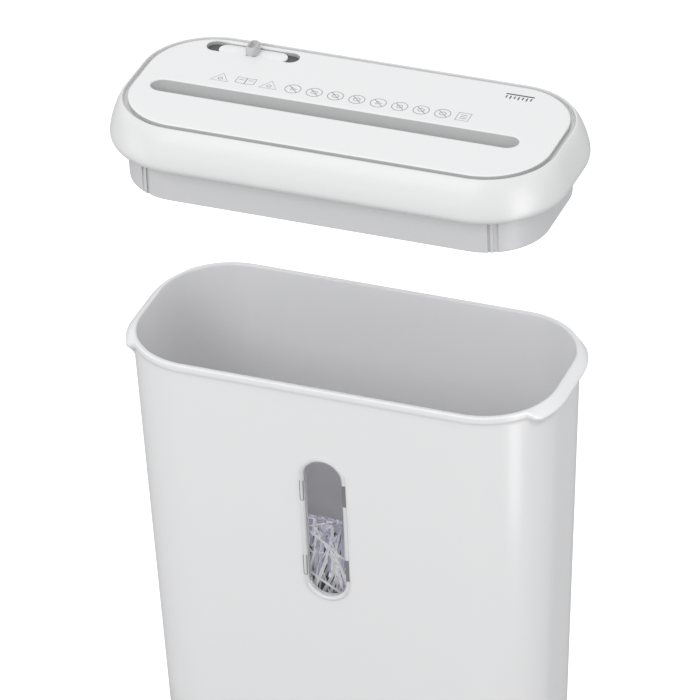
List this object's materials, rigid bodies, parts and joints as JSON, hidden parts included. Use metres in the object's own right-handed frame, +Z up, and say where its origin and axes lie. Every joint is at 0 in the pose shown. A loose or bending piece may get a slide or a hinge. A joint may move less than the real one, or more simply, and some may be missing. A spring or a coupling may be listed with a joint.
{
  "type": "paper shredder",
  "caption": "Tall waste-bin paper shredder whose cutting head, with a long paper slot and a mode slider, lifts off a tapered bin with a see-through window.",
  "frame": {"origin": "on the floor, under the centre of the bin's footprint and of the head", "axes": "+X along the paper slot to the right, +Y to the back (the window faces -Y), +Z up"},
  "size_m": [0.291, 0.135, 0.4599],
  "materials": {
    "bin_plastic": "glossy moulded white plastic",
    "cover_plastic": "glossy pearl-white plastic",
    "panel_plastic": "satin off-white plastic",
    "neck_plastic": "satin light grey plastic",
    "clear_plastic": "clear moulded plastic",
    "rubber": "matt dark rubber",
    "paper": "cut paper strips",
    "bright_steel": "plain steel",
    "cutter_steel": "hardened, lightly oiled steel",
    "bronze": "sintered bronze",
    "dark_plastic": "black nylon",
    "gear_nylon": "natural nylon",
    "circuit_board": "green circuit board",
    "motor_steel": "zinc-plated steel",
    "copper": "copper windings",
    "knob_plastic": "satin grey-white plastic",
    "red_plastic": "red nylon",
    "slider_plastic": "white plastic"
  },
  "bodies": {
    "bin": {"bin_shell": "bin_plastic", "bin_window": "clear_plastic", "bin_feet": "rubber", "paper_shreds": "paper"},
    "head": {"head_cover": "cover_plastic", "top_panel": "panel_plastic", "head_base": "neck_plastic", "front_paper_guide": "neck_plastic", "rear_paper_guide": "neck_plastic", "left_side_plate": "bright_steel", "right_side_plate": "bright_steel", "tie_rods": "bright_steel", "tie_rod_nuts": "bright_steel", "shaft_bushes": "bronze", "front_stripper_comb": "dark_plastic", "rear_stripper_comb": "dark_plastic", "motor_can": "motor_steel", "motor_end_cap": "dark_plastic", "motor_magnets": "cutter_steel", "gear_pins": "bright_steel", "gear_cover": "gear_nylon", "control_board": "circuit_board", "board_parts": "dark_plastic", "mode_switch": "dark_plastic", "sensor_switch": "dark_plastic", "interlock_switch": "dark_plastic", "cord_gland": "rubber", "base_screws": "bright_steel", "gear_cover_screws": "bright_steel"},
    "mode_slider": {"slider_plate": "slider_plastic", "slider_knob": "knob_plastic"},
    "rear_cutter": {"rear_shaft": "bright_steel", "rear_discs": "cutter_steel", "rear_spacers": "dark_plastic", "rear_sync_gear": "cutter_steel", "drive_gear": "gear_nylon"},
    "front_cutter": {"front_shaft": "bright_steel", "front_discs": "cutter_steel", "front_spacers": "dark_plastic", "front_sync_gear": "cutter_steel"},
    "second_gear": {"second_gear": "gear_nylon"},
    "first_gear": {"first_gear": "dark_plastic"},
    "motor_rotor": {"motor_rotor": "copper", "motor_pinion": "bronze"},
    "paper_lever": {"paper_lever": "dark_plastic"},
    "interlock_plunger": {"interlock_plunger": "red_plastic"}
  },
  "joints": [
    {"name": "head_lift", "type": "slide", "parent": "bin", "child": "head", "axis": [0, 0, 1], "range_m": [-0.1372, 0.02]},
    {"name": "mode_slide", "type": "slide", "parent": "head", "child": "mode_slider", "axis": [1, 0, 0], "range_m": [-0.0074, 0.0074]},
    {"name": "rear_cutter_turn", "type": "hinge", "parent": "head", "child": "rear_cutter", "pos_m": [-0.005, 0.0033, 0.425], "axis": [1, 0, 0], "continuous": true},
    {"name": "front_cutter_turn", "type": "hinge", "parent": "head", "child": "front_cutter", "pos_m": [-0.005, -0.0237, 0.425], "axis": [1, 0, 0], "continuous": true},
    {"name": "second_gear_turn", "type": "hinge", "parent": "head", "child": "second_gear", "pos_m": [0.11, 0.02322, 0.42674], "axis": [1, 0, 0], "continuous": true},
    {"name": "first_gear_turn", "type": "hinge", "parent": "head", "child": "first_gear", "pos_m": [0.11, 0.03747, 0.43565], "axis": [1, 0, 0], "continuous": true},
    {"name": "motor_turn", "type": "hinge", "parent": "head", "child": "motor_rotor", "pos_m": [0.08, 0.03747, 0.42185], "axis": [1, 0, 0], "continuous": true},
    {"name": "paper_lever_swing", "type": "hinge", "parent": "head", "child": "paper_lever", "pos_m": [-0.005, 0.0018, 0.4431], "axis": [1, 0, 0], "range_deg": [0, 12], "stiffness_Nm_per_rad": 0.002, "springref_deg": -11.46},
    {"name": "interlock_press", "type": "slide", "parent": "head", "child": "interlock_plunger", "axis": [0, 0, 1], "range_m": [0, 0.002], "stiffness_N_per_m": 300, "springref_m": -0.003}
  ],
  "couplings": [
    {"joint": "front_cutter_turn", "follows": "rear_cutter_turn", "ratio": -1},
    {"joint": "second_gear_turn", "follows": "rear_cutter_turn", "ratio": -3},
    {"joint": "first_gear_turn", "follows": "rear_cutter_turn", "ratio": 9.6},
    {"joint": "motor_turn", "follows": "rear_cutter_turn", "ratio": -34.56}
  ]
}
